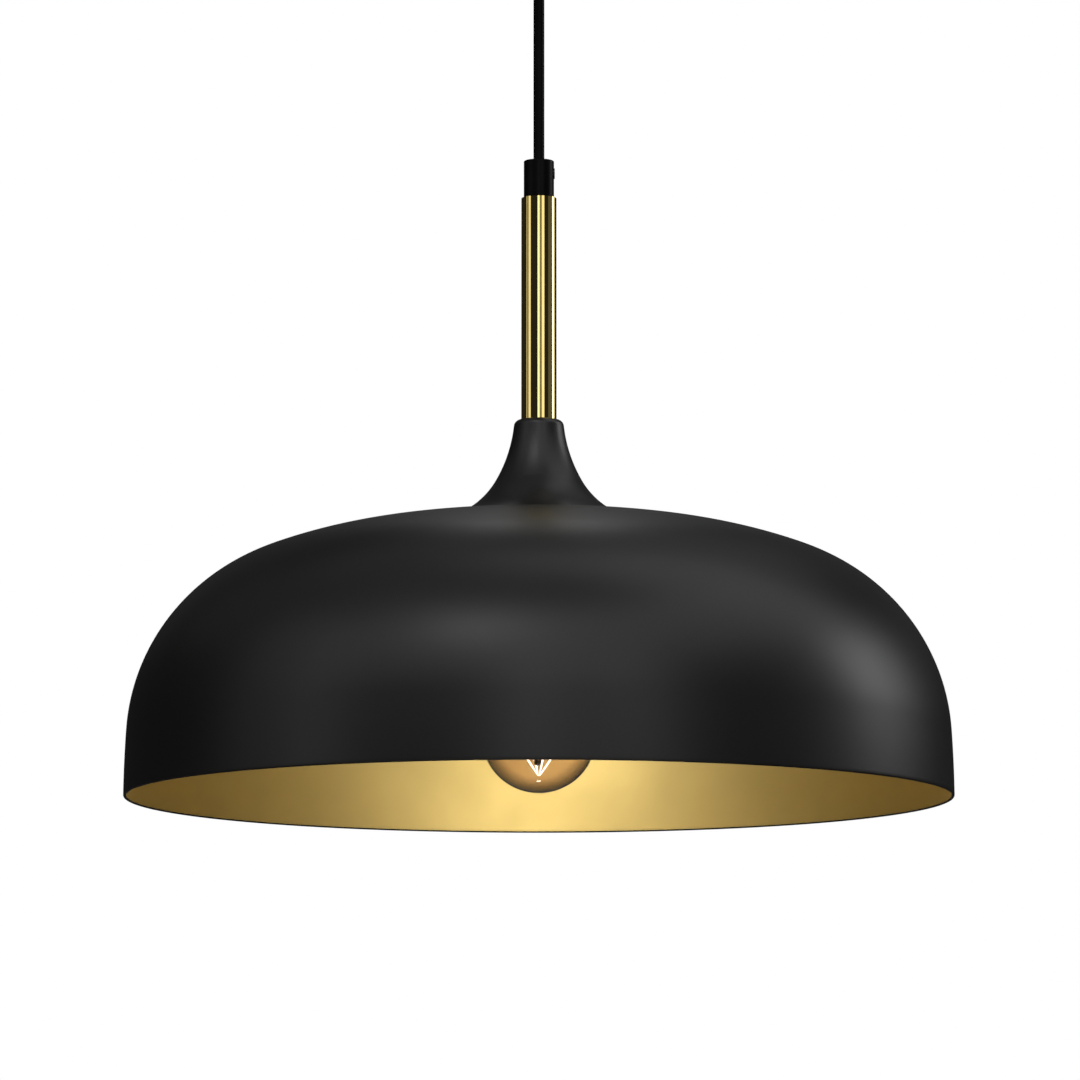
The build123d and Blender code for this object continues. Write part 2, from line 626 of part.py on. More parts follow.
# Neck: the outline's two arcs run from the lip up to the rounded top corner
lip_point = Vector(NECK_BASE_RADIUS, seat_z + NECK_LIP)
corner_centre = Vector(NECK_TOP_RADIUS - NECK_TOP_CORNER, neck_top_z - NECK_TOP_CORNER)
corner_end = corner_centre + unit(NECK_TURNS[2]) * NECK_TOP_CORNER
neck_radii = two_radii(
    corner_end - lip_point,
    unit(NECK_TURNS[0]) - unit(NECK_TURNS[1]),
    unit(NECK_TURNS[1]) - unit(NECK_TURNS[2]),
)
plate_z = neck_top_z - NECK_TOP_PLATE
spigot_z = neck_top_z + NECK_SPIGOT_HEIGHT
with BuildPart() as neck:
    with BuildSketch(Plane.XZ):
        with BuildLine():
            Polyline((0, seat_z), (NECK_BASE_RADIUS, seat_z), (lip_point.X, lip_point.Y))
            arc_chain(lip_point, NECK_TURNS, neck_radii, side=-1)
            corner = (corner_centre.X, corner_centre.Y)
            CenterArc(corner, NECK_TOP_CORNER, NECK_TURNS[2], 90 - NECK_TURNS[2])
            Polyline(
                (corner_centre.X, neck_top_z),
                (stem_bore_radius - 2 * FIT, neck_top_z),
                (stem_bore_radius - 2 * FIT, spigot_z),
                (0, spigot_z),
                (0, seat_z),
            )
        make_face()
        with BuildLine():
            inner_foot, inner_top = arc_chain(lip_point, NECK_TURNS, neck_radii, side=-1, inset=NECK_WALL)
            Polyline((inner_top.X, inner_top.Y), (0, inner_top.Y), (0, seat_z), (inner_foot.X, seat_z))
            Line((inner_foot.X, seat_z), (inner_foot.X, inner_foot.Y))
        make_face(mode=Mode.SUBTRACT)
    revolve(axis=Axis.Z)
    with BuildSketch(Plane.XY.offset(plate_z)):
        Circle(corner_centre.X)
    extrude(amount=NECK_TOP_PLATE)
    with BuildSketch(Plane.XY.offset(plate_z)):
        Circle(clear_hole_radius)
    extrude(amount=spigot_z - plate_z, mode=Mode.SUBTRACT)
save(neck, "neck")

# Shade: wall, shoulder and crown arcs from the rim up to the flat seat, with the same arcs inside
seat_radius = NECK_BASE_RADIUS + SHADE_SEAT_MARGIN
rim_point = Vector(SHADE_RADIUS, rim_z + SHADE_WALL / 2)
wall_span = (unit(SHADE_TURNS[1]) - unit(SHADE_TURNS[0])) * SHADE_WALL_ARC
shoulder_radius, crown_radius = two_radii(
    Vector(seat_radius, seat_z) - rim_point - wall_span,
    unit(SHADE_TURNS[2]) - unit(SHADE_TURNS[1]),
    unit(SHADE_TURNS[3]) - unit(SHADE_TURNS[2]),
)
shade_radii = (SHADE_WALL_ARC, shoulder_radius, crown_radius)
with BuildPart() as shade:
    with BuildSketch(Plane.XZ):
        with BuildLine():
            rim_outer, seat_outer = arc_chain(rim_point, SHADE_TURNS, shade_radii, side=1)
            rim_inner, seat_inner = arc_chain(rim_point, SHADE_TURNS, shade_radii, side=1, inset=SHADE_WALL)
            Polyline(
                (seat_outer.X, seat_outer.Y),
                (clear_hole_radius, seat_outer.Y),
                (clear_hole_radius, seat_inner.Y),
                (seat_inner.X, seat_inner.Y),
            )
            rim_middle = (rim_inner + rim_outer) / 2
            ThreePointArc((rim_inner.X, rim_inner.Y), (rim_middle.X, rim_z), (rim_outer.X, rim_outer.Y))
        make_face()
    revolve(axis=Axis.Z)
save(shade, "shade")

# Washer and nut that pull the shade up against the neck
washer_bottom_z = shade_nut_z + NUT_HEIGHT
save(ring(SHADE_WASHER_RADIUS, clear_hole_radius, washer_bottom_z, SHADE_WASHER_HEIGHT), "shade_washer")
save(hex_nut(shade_nut_z), "shade_nut")

# Lampholder cap: a threaded collar on a round cup, open below
holder_shoulder_z = shade_nut_z - HOLDER_COLLAR_HEIGHT
holder_inner_radius = HOLDER_RADIUS - HOLDER_CAP_WALL
lock_screw_z = shade_nut_z - LOCK_SCREW_DROP
with BuildPart() as holder_cap:
    with BuildSketch(Plane.XY.offset(ledge_z)):
        Circle(HOLDER_RADIUS)
    extrude(amount=holder_shoulder_z - ledge_z)
    fillet(holder_cap.faces().sort_by(Axis.Z)[-1].edges(), HOLDER_CAP_CORNER)
    with BuildSketch(Plane.XY.offset(holder_shoulder_z)):
        Circle(HOLDER_COLLAR_RADIUS)
    extrude(amount=HOLDER_COLLAR_HEIGHT)
    with BuildSketch(Plane.XY.offset(ledge_z)):
        Circle(holder_inner_radius)
    extrude(amount=holder_roof_z - ledge_z, mode=Mode.SUBTRACT)
    with BuildSketch(Plane.XY.offset(holder_roof_z)):
        Circle(thread_hole_radius)
    extrude(amount=shade_nut_z - holder_roof_z, mode=Mode.SUBTRACT)
    with BuildSketch(Plane.XZ):
        with Locations((0, lock_screw_z)):
            Circle(LOCK_SCREW_RADIUS + FIT)
    extrude(amount=-HOLDER_COLLAR_RADIUS, mode=Mode.SUBTRACT)
save(holder_cap, "lampholder_cap")

# Grub screw that stops the lampholder from turning on the rod
with BuildPart() as lock_screw:
    with BuildSketch(Plane.XZ.offset(-THREAD_RADIUS - FIT)):
        with Locations((0, lock_screw_z)):
            Circle(LOCK_SCREW_RADIUS)
    extrude(amount=-(HOLDER_COLLAR_RADIUS - THREAD_RADIUS - 2 * LOOSE))
save(lock_screw, "lampholder_lock_screw")

# Skirt: screwed over the cap, with a ledge that carries the insert and a lip at its mouth
skirt_inner_radius = HOLDER_RADIUS + FIT
skirt_radius = skirt_inner_radius + SKIRT_WALL
skirt_top_z = ledge_z + SKIRT_OVERLAP
skirt_bottom_z = skirt_top_z - SKIRT_LENGTH
with BuildPart() as skirt:
    with BuildSketch(Plane.XZ):
        with BuildLine():
            Polyline(
                (skirt_inner_radius, skirt_top_z),
                (skirt_radius, skirt_top_z),
                (skirt_radius, skirt_bottom_z),
                (SKIRT_MOUTH_RADIUS, skirt_bottom_z),
                (SKIRT_MOUTH_RADIUS, skirt_bottom_z + SKIRT_LIP_HEIGHT),
                (skirt_inner_radius, skirt_bottom_z + SKIRT_LIP_HEIGHT),
                (skirt_inner_radius, ledge_z - SKIRT_LEDGE_HEIGHT),
                (SKIRT_LEDGE_RADIUS, ledge_z - SKIRT_LEDGE_HEIGHT),
                (SKIRT_LEDGE_RADIUS, ledge_z),
                (skirt_inner_radius, ledge_z),
                close=True,
            )
        make_face()
    revolve(axis=Axis.Z)
    outer_edges = skirt.edges().filter_by(GeomType.CIRCLE).group_by(SortBy.RADIUS)[-1]
    fillet(outer_edges, SKIRT_WALL / 2)
save(skirt, "lampholder_skirt")

# Insert: the insulating disc that carries the contacts, with a hole for each core
with BuildPart() as insert:
    with BuildSketch(Plane.XY.offset(ledge_z)):
        Circle(holder_inner_radius - 2 * FIT)
    extrude(amount=INSERT_HEIGHT)
    with BuildSketch(Plane.XY.offset(ledge_z + INSERT_HEIGHT)):
        with GridLocations(2 * INSERT_HOLE_X, 0, 2, 1):
            Circle(CORE_RADIUS + FIT)
    extrude(amount=-INSERT_HOLE_DEPTH, mode=Mode.SUBTRACT)
save(insert, "lampholder_insert")

# Screw shell and the spring tongue above the bulb's contact
shell_inner_radius = BULB_CAP_RADIUS + BULB_PLAY
shell = ring(shell_inner_radius + SHELL_WALL, shell_inner_radius, ledge_z - SHELL_LENGTH, SHELL_LENGTH)
save(shell, "lampholder_shell")

tongue_tip_z = contact_z + FIT + CONTACT_THICKNESS / 2
tongue_root_z = ledge_z - CONTACT_THICKNESS / 2
with BuildPart() as contact:
    with BuildSketch(Plane.XZ):
        with BuildLine() as tongue_line:
            Polyline(
                (-CONTACT_REACH, tongue_root_z),
                (-CONTACT_REACH / 2, tongue_root_z),
                (0, tongue_tip_z),
                (CONTACT_REACH / 3, tongue_tip_z),
            )
        trace(line_width=CONTACT_THICKNESS)
    extrude(amount=CONTACT_WIDTH / 2, both=True)
save(contact, "lampholder_contact")

# Earth terminal under the cap's roof, with its screw
earth_hole_z = holder_roof_z - EARTH_BLOCK_HOLE_DROP
earth_face_y = EARTH_BLOCK_Y + EARTH_BLOCK_SIZE / 2
earth_block_bottom_z = holder_roof_z - EARTH_BLOCK_HEIGHT
with BuildPart() as earth_block:
    with BuildSketch(Plane.XY.offset(earth_block_bottom_z)):
        with Locations((0, EARTH_BLOCK_Y)):
            Rectangle(EARTH_BLOCK_SIZE, EARTH_BLOCK_SIZE)
    extrude(amount=EARTH_BLOCK_HEIGHT)
    with BuildSketch(Plane.XZ.offset(-earth_face_y)):
        with Locations((0, earth_hole_z)):
            Circle(CORE_RADIUS + FIT)
    extrude(amount=EARTH_BLOCK_HOLE_DEPTH, mode=Mode.SUBTRACT)
    with BuildSketch(Plane.XY.offset(earth_block_bottom_z)):
        with Locations((0, EARTH_BLOCK_Y)):
            Circle(EARTH_BLOCK_SCREW_RADIUS + FIT)
    extrude(amount=earth_hole_z - earth_block_bottom_z, mode=Mode.SUBTRACT)
save(earth_block, "lampholder_earth_block")

with BuildPart() as earth_block_screw:
    with BuildSketch(Plane.XY.offset(earth_block_bottom_z)):
        with Locations((0, EARTH_BLOCK_Y)):
            Circle(EARTH_BLOCK_SCREW_RADIUS)
    extrude(amount=earth_hole_z - CORE_RADIUS - FIT - earth_block_bottom_z)
save(earth_block_screw, "lampholder_earth_screw")

# Cores from the cord's lower end to the lampholder
core_floor_z = ledge_z + INSERT_HEIGHT - INSERT_HOLE_DEPTH
for node, side in (("live_core_lower", -1), ("neutral_core_lower", 1)):
    route = [
        (side * core_side, core_front, sheath_end_z),
        (side * core_side, core_front, sheath_end_z - LOWER_STRAIGHT),
        (side * INSERT_HOLE_X, 0, ledge_z + INSERT_HEIGHT + INSERT_LEAD_IN),
        (side * INSERT_HOLE_X, 0, core_floor_z),
    ]
    save(core(route, LOWER_BENDS), node)
earth_route = [
    (0, -CORE_OFFSET, sheath_end_z),
    (0, -CORE_OFFSET, sheath_end_z - LOWER_STRAIGHT),
    (0, earth_face_y + EARTH_BLOCK_LEAD_IN, earth_hole_z),
    (0, earth_face_y - EARTH_CORE_DEPTH, earth_hole_z),
]
save(core(earth_route, LOWER_BENDS), "earth_core_lower")

# Bulb: round glass whose neck runs into the cap along one hollow arc
glass_neck_radius = BULB_CAP_RADIUS - BULB_CAP_WALL - 2 * FIT
neck_start_z = cap_rim_z - BULB_NECK_STRAIGHT
neck_rise = neck_start_z - bulb_centre_z
neck_step = BULB_RADIUS - glass_neck_radius
neck_arc = (glass_neck_radius ** 2 + neck_rise ** 2 - BULB_RADIUS ** 2) / (2 * neck_step)
neck_arc_centre = Vector(glass_neck_radius + neck_arc, neck_start_z)
bulb_centre = Vector(0, bulb_centre_z)
to_neck = (neck_arc_centre - bulb_centre).normalized()
with BuildPart() as glass:
    with BuildSketch(Plane.XZ):
        for inset, mode in ((0.0, Mode.ADD), (BULB_GLASS, Mode.SUBTRACT)):
            meeting = bulb_centre + to_neck * (BULB_RADIUS - inset)
            side_point = unit(-45) * (BULB_RADIUS - inset) + bulb_centre
            bottom = (0, bulb_bottom_z + inset)
            neck_foot = (glass_neck_radius - inset, neck_start_z)
            with BuildLine():
                ThreePointArc(bottom, (side_point.X, side_point.Y), (meeting.X, meeting.Y))
                RadiusArc((meeting.X, meeting.Y), neck_foot, neck_arc + inset)
                Polyline(neck_foot, (neck_foot[0], glass_top_z), (0, glass_top_z), bottom)
            make_face(mode=mode)
    revolve(axis=Axis.Z)
save(glass, "bulb_glass")

# Cap: a thin cup with rolled thread rings and a turned-in top edge
groove_half = BULB_THREAD_PITCH / 4
groove_radius = (groove_half ** 2 + BULB_THREAD_DEPTH ** 2) / (2 * BULB_THREAD_DEPTH)
groove_centre_x = BULB_CAP_RADIUS - BULB_THREAD_DEPTH + groove_radius
with BuildPart() as cap:
    with BuildSketch(Plane.XZ):
        with BuildLine():
            Polyline(
                (BULB_CAP_RADIUS - BULB_CAP_WALL, cap_rim_z),
                (BULB_CAP_RADIUS, cap_rim_z),
                (BULB_CAP_RADIUS, cap_top_z),
                (BULB_CONTACT_RADIUS, cap_top_z),
                (BULB_CONTACT_RADIUS, cap_top_z - BULB_CAP_WALL),
                (BULB_CAP_RADIUS - BULB_CAP_WALL - BULB_THREAD_DEPTH, cap_top_z - BULB_CAP_WALL),
                (BULB_CAP_RADIUS - BULB_CAP_WALL - BULB_THREAD_DEPTH, glass_top_z + BULB_CAP_WALL),
                (BULB_CAP_RADIUS - BULB_CAP_WALL, glass_top_z + BULB_CAP_WALL),
                close=True,
            )
        make_face()
        for turn in range(BULB_CAP_THREADS):
            groove_z = glass_top_z + (turn + 0.5) * BULB_THREAD_PITCH
            with Locations((groove_centre_x, groove_z)):
                Circle(groove_radius, mode=Mode.SUBTRACT)
    revolve(axis=Axis.Z)
save(cap, "bulb_cap")

# Insulator and contact button on top of the cap
with BuildPart() as insulator:
    with BuildSketch(Plane.XZ):
        with BuildLine():
            Polyline(
                (0, cap_top_z),
                (BULB_INSULATOR_RADIUS, cap_top_z),
                (BULB_CONTACT_RADIUS, cap_top_z + BULB_INSULATOR_HEIGHT),
                (0, cap_top_z + BULB_INSULATOR_HEIGHT),
                close=True,
            )
        make_face()
    revolve(axis=Axis.Z)
save(insulator, "bulb_insulator")
save(rod(BULB_CONTACT_RADIUS, contact_z - BULB_CONTACT_HEIGHT, contact_z), "bulb_contact")

# Glass stem: a flare sealed in the neck and a rod that reaches down between the filaments
stem_flare_radius = glass_neck_radius - BULB_GLASS - FIT
stem_tip_z = bulb_bottom_z + BULB_STEM_CLEAR
with BuildPart() as bulb_stem:
    with BuildSketch(Plane.XZ):
        with BuildLine():
            Polyline(
                (0, glass_top_z),
                (stem_flare_radius, glass_top_z),
                (stem_flare_radius, glass_top_z - BULB_GLASS),
            )
            TangentArc(
                (stem_flare_radius, glass_top_z - BULB_GLASS),
                (BULB_STEM_RADIUS, glass_top_z - BULB_STEM_FLARE),
                tangent=(-1, 0),
            )
            Polyline(
                (BULB_STEM_RADIUS, glass_top_z - BULB_STEM_FLARE),
                (BULB_STEM_RADIUS, stem_tip_z),
                (0, stem_tip_z),
                (0, glass_top_z),
            )
        make_face()
    revolve(axis=Axis.Z)
    fillet(bulb_stem.faces().sort_by(Axis.Z)[0].edges(), BULB_STEM_RADIUS / 2)
save(bulb_stem, "bulb_stem")

# Filaments: a cone of rods that meet at the foot, under the stem
foot_z = bulb_bottom_z + FILAMENT_FOOT_CLEAR
lean = unit(90 - FILAMENT_LEAN)
head_radius = FILAMENT_FOOT_RADIUS + lean.X * FILAMENT_LENGTH
head_z = foot_z + lean.Y * FILAMENT_LENGTH
bearings = [FILAMENT_TURN + 360 / FILAMENT_COUNT * index for index in range(FILAMENT_COUNT)]


def around(radius, z, bearing):
    """Point at a radius, a level and a bearing about the axis."""
    spoke = unit(bearing) * radius
    return Vector(spoke.X, spoke.Y, z)


with BuildPart() as filaments:
    for bearing in bearings:
        foot = around(FILAMENT_FOOT_RADIUS, foot_z, bearing)
        with BuildSketch(Plane(origin=foot, z_dir=around(head_radius, head_z, bearing) - foot)):
            Circle(FILAMENT_RADIUS)
        extrude(amount=FILAMENT_LENGTH)
save(filaments, "bulb_filaments")

# Wires: one from the stem's side to the head of each filament, and one from the stem's tip to their foot
wire_head_radius = head_radius - FILAMENT_RADIUS - FILAMENT_WIRE_RADIUS
wire_root_radius = BULB_STEM_RADIUS + FILAMENT_WIRE_GAP + FILAMENT_WIRE_RADIUS
wire_root_z = head_z + FILAMENT_WIRE_RISE
wire_ends = [(Vector(0, 0, stem_tip_z - FILAMENT_WIRE_GAP), Vector(0, 0, foot_z))]
for bearing in bearings:
    wire_root = around(wire_root_radius, wire_root_z, bearing)
    wire_head = around(wire_head_radius, head_z, bearing)
    wire_ends.append((wire_root, wire_head))
with BuildPart() as wires:
    for start, end in wire_ends:
        with BuildSketch(Plane(origin=start, z_dir=end - start)):
            Circle(FILAMENT_WIRE_RADIUS)
        extrude(amount=(end - start).length)
save(wires, "bulb_wires")

# Driver: a round board on the stem's flare with one block of parts
with BuildPart() as driver:
    with BuildSketch(Plane.XY.offset(glass_top_z)):
        Circle(BULB_DRIVER_RADIUS)
    extrude(amount=BULB_DRIVER_BOARD)
    with BuildSketch(Plane.XY.offset(glass_top_z + BULB_DRIVER_BOARD)):
        Rectangle(BULB_DRIVER_BOX, BULB_DRIVER_BOX)
    extrude(amount=BULB_DRIVER_BOX)
save(driver, "bulb_driver")

print(f"rim at {rim_z:.2f}, seat at {seat_z:.2f}, bulb bottom {bulb_bottom_z - rim_z:.2f} above the rim")
print("shade arcs", [round(radius, 1) for radius in shade_radii])
print("neck arcs", [round(radius, 1) for radius in neck_radii])
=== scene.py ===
"""The looks of a dome pendant light.

Finer pieces for its shade, filaments and cord, its finishes, a studio and the photograph's camera.
"""
import json
from math import cos, pi, radians, sin, tan

import bpy
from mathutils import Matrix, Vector


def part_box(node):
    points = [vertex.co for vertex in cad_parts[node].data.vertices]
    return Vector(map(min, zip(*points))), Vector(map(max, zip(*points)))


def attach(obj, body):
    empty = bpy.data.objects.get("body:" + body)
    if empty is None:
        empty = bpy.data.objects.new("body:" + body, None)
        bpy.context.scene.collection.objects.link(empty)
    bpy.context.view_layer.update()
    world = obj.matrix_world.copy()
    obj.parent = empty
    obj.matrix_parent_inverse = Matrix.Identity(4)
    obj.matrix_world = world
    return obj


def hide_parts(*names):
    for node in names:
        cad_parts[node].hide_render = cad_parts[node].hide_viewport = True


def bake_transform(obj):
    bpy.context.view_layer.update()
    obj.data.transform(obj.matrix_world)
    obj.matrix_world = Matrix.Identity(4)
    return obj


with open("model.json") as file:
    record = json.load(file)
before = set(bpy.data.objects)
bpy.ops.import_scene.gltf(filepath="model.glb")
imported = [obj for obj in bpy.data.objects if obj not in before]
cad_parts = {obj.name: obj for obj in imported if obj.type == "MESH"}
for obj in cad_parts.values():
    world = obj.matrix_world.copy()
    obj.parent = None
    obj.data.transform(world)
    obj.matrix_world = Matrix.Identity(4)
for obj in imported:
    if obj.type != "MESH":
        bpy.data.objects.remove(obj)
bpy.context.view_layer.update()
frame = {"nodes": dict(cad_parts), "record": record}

MILLIMETRE = 0.001

# Edges sharper than these stay sharp in smooth shading
NODE_SHARP_ANGLE = radians(32)
PIECE_SHARP_ANGLE = radians(40)

# The shade's outline: tangent arcs from the rim to the seat. Their normals turn between these angles,
# in degrees.
SHADE_WALL = 1.5 * MILLIMETRE
SHADE_WALL_ARC = 639 * MILLIMETRE
SHADE_TURNS = (0.57, 3.55, 69.3, 90.0)
SHADE_ARC_STEPS = (24, 40, 24)
SHADE_RIM_STEPS = 10
SHADE_SIDES = 360
SHADE_SEAT_MARGIN = 1.2 * MILLIMETRE
SHADE_HOLE_RADIUS = 5.2 * MILLIMETRE

# The cord: its upper end is a dome, in rings at these angles in degrees, short of the fixed length above it
CORD_SIDES = 32
CORD_END_GAP = 0.4 * MILLIMETRE
CORD_END_TURNS = (80, 64, 48, 32, 16, 0)

# The bulb's filaments: rods that lean outwards from near one point above the bulb's bottom
FILAMENT_COUNT = 4
FILAMENT_SIDES = 16
FILAMENT_RADIUS = 0.45 * MILLIMETRE
FILAMENT_HEIGHT = 24.8 * MILLIMETRE
FILAMENT_SPREAD = 17.9 * MILLIMETRE
FILAMENT_FOOT_SPREAD = 0.4 * MILLIMETRE
FILAMENT_FOOT_CLEAR = 8.8 * MILLIMETRE
FILAMENT_TURN = 20                   # of the first rod, in degrees
# How far along the rod each ring is, and its share of the full radius
FILAMENT_RINGS = (
    (0.0, 0.3), (0.01, 0.47), (0.06, 0.62), (0.14, 0.85), (0.2, 1.0), (0.92, 1.0),
    (0.935, 0.9), (0.945, 0.55), (0.95, 0.5), (0.995, 0.5), (1.0, 0.35),
)
FILAMENT_FIRST_TAB_RING = 7

# The lamp inside the bulb
BULB_LIGHT_RADIUS = 12.5 * MILLIMETRE
BULB_LIGHT_POWER = 0.47              # watts
BULB_LIGHT_COLOUR = (1.0, 0.97, 0.92)

# Levels and sizes that the frame gives
shade_low, shade_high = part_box("shade")
neck_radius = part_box("neck")[1].x
cord_low, cord_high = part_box("hanging_cord")
glass_low, glass_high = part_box("bulb_glass")
rim_z = shade_low.z
seat_z = shade_high.z
shade_radius = shade_high.x
cord_radius = cord_high.x
bulb_radius = glass_high.x
bulb_centre = Vector((0, 0, glass_low.z + bulb_radius))

# Camera, fitted to the photograph, in metres where nothing else is said
IMAGE_SIZE = 1080               # pixels
FOCAL_LENGTH = 5800             # pixels
SENSOR_WIDTH = 36               # millimetres
CAMERA_DISTANCE = 2.928         # in front of the light's axis
CAMERA_BELOW_RIM = 0.2581
CAMERA_SIDE = 0.00056           # to the right
CAMERA_TILT = radians(7.593)    # upwards

# Studio, in metres
FLOOR_Z = -5.0
FLOOR_RADIUS = 60.0
FLOOR_SIDES = 96
FLOOR_LIFT = 0.4                # the floor's own level, for the rays that show the background
AMBIENT = 0.45                  # the world's level, for the other rays
LAMP_DISTANCE = 6.0
CARD_DISTANCE = 7.0
GLINT_DISTANCE = 0.8
CARD_FACE = 6                   # degrees
STUDIO_AIM = Vector((0, 0, -0.36))
SHIELDED_LAMPS = ("front_spot", "front_top")


def link(tree, source, target):
    """Join two sockets."""
    tree.links.new(source, target)


def new_node(tree, kind, **inputs):
    """Add a shader node. inputs are socket names, with _ for a space, and values or sockets."""
    node = tree.nodes.new("ShaderNode" + kind)
    for name, value in inputs.items():
        socket = node.inputs[name.replace("_", " ")]
        if isinstance(value, bpy.types.NodeSocket):
            link(tree, value, socket)
        else:
            socket.default_value = value
    return node


def grey(level):
    """Colour with three equal parts."""
    return level, level, level, 1


def place(tree, stretch=(1, 1, 1)):
    """The piece's own coordinates in metres, stretched."""
    coordinates = tree.nodes.new("ShaderNodeTexCoord")
    mapping = new_node(tree, "Mapping", Vector=coordinates.outputs["Object"], Scale=stretch)
    return mapping.outputs["Vector"]


def noise(tree, size, detail=3.0, stretch=(1, 1, 1)):
    """Noise from 0 to 1 whose features have about the given size in metres."""
    node = new_node(tree, "TexNoise", Vector=place(tree, stretch), Scale=1 / size, Detail=detail)
    return node.outputs["Fac"]


def ramp(tree, fac, low, high, low_at=0.35, high_at=0.65):
    """Colour that runs from low to high as fac runs between two stops."""
    node = tree.nodes.new("ShaderNodeValToRGB")
    link(tree, fac, node.inputs["Fac"])
    node.color_ramp.elements[0].position = low_at
    node.color_ramp.elements[1].position = high_at
    node.color_ramp.elements[0].color = low
    node.color_ramp.elements[1].color = high
    return node.outputs["Color"]


def spread(tree, fac, low, high, low_at=0.3, high_at=0.7):
    """Number that runs from low to high as fac runs between two stops."""
    node = new_node(tree, "MapRange", Value=fac)
    node.inputs["From Min"].default_value = low_at
    node.inputs["From Max"].default_value = high_at
    node.inputs["To Min"].default_value = low
    node.inputs["To Max"].default_value = high
    return node.outputs["Result"]


def bump(tree, height, depth, strength):
    """Normal of a relief of the given depth in metres."""
    node = new_node(tree, "Bump", Height=height, Distance=depth, Strength=strength)
    return node.outputs["Normal"]


def surface(name, **inputs):
    """New material with one Principled shader. Returns the material, its tree and the shader."""
    material = bpy.data.materials.new(name)
    material.use_nodes = True
    shader = material.node_tree.nodes["Principled BSDF"]
    for socket, value in inputs.items():
        shader.inputs[socket.replace("_", " ")].default_value = value
    return material, material.node_tree, shader


def finish(tree, shader, colour, roughness, normal=None):
    """Join the patterns to the shader."""
    link(tree, colour, shader.inputs["Base Color"])
    link(tree, roughness, shader.inputs["Roughness"])
    if normal is not None:
        link(tree, normal, shader.inputs["Normal"])


def powder_coat():
    """Matt black powder coat with a fine orange peel."""
    material, tree, shader = surface("powder_coat_black", Specular_IOR_Level=0.4)
    cloud = noise(tree, 60 * MILLIMETRE)
    grain = noise(tree, 0.9 * MILLIMETRE, detail=2)
    colour = ramp(tree, grain, grey(0.0030), grey(0.0042))
    peel = bump(tree, grain, 0.02 * MILLIMETRE, 0.35)
    finish(tree, shader, colour, spread(tree, cloud, 0.368, 0.392), peel)
    return material


def satin_gold():
    """Gold lacquer on spun metal: faint rings and soft clouds."""
    material, tree, shader = surface("satin_gold", Metallic=1.0)
    cloud = noise(tree, 38 * MILLIMETRE, detail=2)
    rings = noise(tree, 1.4 * MILLIMETRE, detail=2, stretch=(0.004, 0.004, 1))
    colour = ramp(tree, cloud, (0.60, 0.458, 0.168, 1), (0.64, 0.489, 0.180, 1))
    finish(tree, shader, colour, spread(tree, cloud, 0.48, 0.45), bump(tree, rings, 0.005 * MILLIMETRE, 0.2))
    return material


def polished_brass():
    """Polished tube with a faint haze."""
    material, tree, shader = surface("polished_brass", Metallic=1.0)
    haze = noise(tree, 14 * MILLIMETRE)
    colour = ramp(tree, haze, (0.90, 0.69, 0.23, 1), (0.95, 0.75, 0.28, 1))
    finish(tree, shader, colour, spread(tree, haze, 0.03, 0.04))
    return material


def bare_metal(name, dark, light, roughness, size):
    """Small metal parts: a mottled plating with fine grain."""
    material, tree, shader = surface(name, Metallic=1.0)
    mottle = noise(tree, size)
    grain = noise(tree, 0.3 * MILLIMETRE, detail=2)
    colour = ramp(tree, mottle, (*dark, 1), (*light, 1))
    shine = spread(tree, mottle, roughness + 0.06, roughness - 0.06)
    finish(tree, shader, colour, shine, bump(tree, grain, 0.006 * MILLIMETRE, 0.3))
    return material


def moulded(name, dark, light, roughness, shine=0.4):
    """Moulded plastic, rubber or ceramic: fine grain and a little unevenness."""
    material, tree, shader = surface(name, Specular_IOR_Level=shine)
    cloud = noise(tree, 9 * MILLIMETRE)
    grain = noise(tree, 0.6 * MILLIMETRE, detail=2)
    colour = ramp(tree, cloud, (*dark, 1), (*light, 1))
    rough = spread(tree, grain, roughness - 0.05, roughness + 0.05)
    finish(tree, shader, colour, rough, bump(tree, grain, 0.015 * MILLIMETRE, 0.3))
    return material


def sheath():
    """Smooth black cord sheath with faint lines along it."""
    material, tree, shader = surface("cord_sheath_black", Specular_IOR_Level=0.06)
    lines = noise(tree, 0.5 * MILLIMETRE, detail=2, stretch=(1, 1, 0.02))
    colour = ramp(tree, lines, grey(0.0010), grey(0.0016))
    finish(tree, shader, colour, spread(tree, lines, 0.40, 0.50), bump(tree, lines, 0.01 * MILLIMETRE, 0.3))
    return material


def earth_insulation():
    """Green and yellow insulation: each colour on its own side of the core."""
    material, tree, shader = surface("core_green_yellow", Specular_IOR_Level=0.4)
    facing = new_node(tree, "SeparateXYZ", Vector=tree.nodes.new("ShaderNodeNewGeometry").outputs["Normal"])
    colour = ramp(tree, facing.outputs["X"], (0.72, 0.62, 0.03, 1), (0.03, 0.24, 0.05, 1), 0.18, 0.22)
    grain = noise(tree, 0.5 * MILLIMETRE)
    finish(tree, shader, colour, spread(tree, grain, 0.35, 0.45))
    return material


def glass(name, clear, edge, edge_from, edge_to, refraction, coat):
    """Blown glass: slight waves in its tint, and a deeper tint where the eye passes along the wall."""
    material, tree, shader = surface(name, Transmission_Weight=1.0, IOR=refraction, Coat_Weight=coat)
    waves = noise(tree, 22 * MILLIMETRE, detail=1)
    facing = new_node(tree, "LayerWeight", Blend=0.5).outputs["Facing"]
    tint = new_node(tree, "MixRGB", Fac=spread(tree, facing, 0, 1, edge_from, edge_to))
    link(tree, ramp(tree, waves, [0.97 * part for part in clear] + [1], (*clear, 1)), tint.inputs["Color1"])
    tint.inputs["Color2"].default_value = (*edge, 1)
    finish(tree, shader, tint.outputs["Color"], spread(tree, waves, 0, 0.01))
    return material


